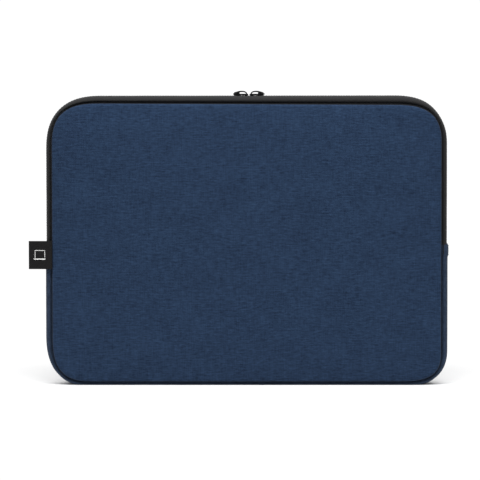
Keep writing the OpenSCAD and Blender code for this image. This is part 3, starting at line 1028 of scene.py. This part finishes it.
path = ribbon_path()
along = np.gradient(path, axis=0)
along /= np.linalg.norm(along, axis=1)[:, None]
across = np.stack([-along[:, 1], along[:, 0]], 1) * RIBBON_T / 2
strip = np.concatenate([path + across, (path - across)[::-1]])
reach = np.r_[0, np.cumsum(np.linalg.norm(np.diff(path, axis=0), axis=1))]
strip_reach = np.concatenate([reach, reach[::-1]])
levels = np.linspace(label_low.z + 0.1 * MM, label_high.z, 26)
verts = [(x, LABEL_Y + y + ribbon_bend(x, z), z) for z in levels for x, y in strip]
cloth = [(r, z, 0) for z in levels for r in strip_reach]
cols = len(strip)
faces = grid_faces(len(levels), cols)
faces += [(k, k + 1, cols - 2 - k, cols - 1 - k) for k in range(len(path) - 1)]
top = (len(levels) - 1) * cols
faces += [(top + k, top + k + 1, top + cols - 2 - k, top + cols - 1 - k) for k in range(len(path) - 1)]
label = make_object("ribbon_label", verts, faces, cloth, sharp=60)
fix_normals(label)
paint(label, SATIN)
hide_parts("side_label")
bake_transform(label)

# The mark on the label: a plain laptop, embroidered in white thread
MARK_X, MARK_Z = label_low.x + 11.8 * MM, (label_low.z + label_high.z) / 2 + 0.4 * MM


def mark_line(points):
    """A line of thread through (x, z) points in millimetres from the middle of the mark."""
    made = []
    for (x0, z0), (x1, z1) in zip(points[:-1], points[1:]):
        for t in np.linspace(0, 1, 14, endpoint=False):
            x, z = MARK_X + (x0 + (x1 - x0) * t) * MM, MARK_Z + (z0 + (z1 - z0) * t) * MM
            made.append((x, LABEL_Y - 0.33 * MM + ribbon_bend(x, z), z))
    return made


screen = [(-4.8, -3.3), (-4.8, 4.2), (4.8, 4.2), (4.8, -3.3)]
mark = tubes("label_mark", [
    mark_line(screen), mark_line([(-6.4, -4.0), (6.4, -4.0)]), mark_line([(-5.8, -4.6), (5.8, -4.6)]),
], 0.27 * MM, 6)
finish_piece(mark, WHITE_THREAD, body="label")

# ---------------------------------------------------------------- camera, light and floor


def build_stage():
    scene = bpy.context.scene
    scene.view_settings.view_transform = "Standard"

    radius = 0.55
    turns = np.linspace(0, 2 * math.pi, 96, endpoint=False)
    around = [(radius * math.cos(a), radius * math.sin(a), 0) for a in turns]
    floor = make_object("floor", around, [tuple(range(len(around)))])
    n = Nodes("pale_floor")
    n.set(Base_Color=(0.87, 0.87, 0.87, 1), Roughness=0.9, Specular_IOR_Level=0.1)
    paint(floor, n.material)

    world = bpy.data.worlds.new("studio")
    scene.world = world
    world.use_nodes = True
    tree = world.node_tree
    room = tree.nodes["Background"]
    # The room is dim at the front and bright overhead; the camera sees plain white behind the sleeve
    white = tree.nodes.new("ShaderNodeBackground")
    white.inputs["Color"].default_value = (1, 1, 1, 1)
    white.inputs["Strength"].default_value = 1.05
    split = tree.nodes.new("ShaderNodeSeparateXYZ")
    tree.links.new(tree.nodes.new("ShaderNodeTexCoord").outputs["Generated"], split.inputs[0])
    height = tree.nodes.new("ShaderNodeMapRange")
    height.interpolation_type = "SMOOTHSTEP"
    for key, number in (("From Min", 0.1), ("From Max", 0.9), ("To Min", 0.17), ("To Max", 1.25)):
        height.inputs[key].default_value = number
    tree.links.new(split.outputs[2], height.inputs["Value"])
    room.inputs["Color"].default_value = (1, 1, 1, 1)
    tree.links.new(height.outputs[0], room.inputs["Strength"])
    choose = tree.nodes.new("ShaderNodeMixShader")
    tree.links.new(tree.nodes.new("ShaderNodeLightPath").outputs["Is Camera Ray"], choose.inputs[0])
    tree.links.new(room.outputs[0], choose.inputs[1])
    tree.links.new(white.outputs[0], choose.inputs[2])
    tree.links.new(choose.outputs[0], tree.nodes["World Output"].inputs["Surface"])

    def area(name, place, target, width, depth, power):
        data = bpy.data.lights.new(name, "AREA")
        data.shape = "RECTANGLE"
        data.size, data.size_y = width, depth
        data.energy = power
        lamp = bpy.data.objects.new(name, data)
        lamp.location = place
        lamp.rotation_euler = (Vector(target) - Vector(place)).to_track_quat("-Z", "Y").to_euler()
        scene.collection.objects.link(lamp)

    area("overhead_softbox", (0, -0.3, 0.66), (0, -0.02, 0.2), 1.3, 0.3, 6.2)

    distance, width_seen = 3.6, 471.8 * MM
    elevation = math.radians(5)
    target = Vector((-6.5 * MM, front_face, 143.85 * MM))
    data = bpy.data.cameras.new("camera")
    data.sensor_width = 36
    data.lens = 36 * distance / width_seen
    camera = bpy.data.objects.new("camera", data)
    back = Vector((0, -math.cos(elevation), math.sin(elevation)))
    camera.location = target + back * distance
    camera.rotation_euler = (-back).to_track_quat("-Z", "Y").to_euler()
    scene.collection.objects.link(camera)
    scene.camera = camera


build_stage()
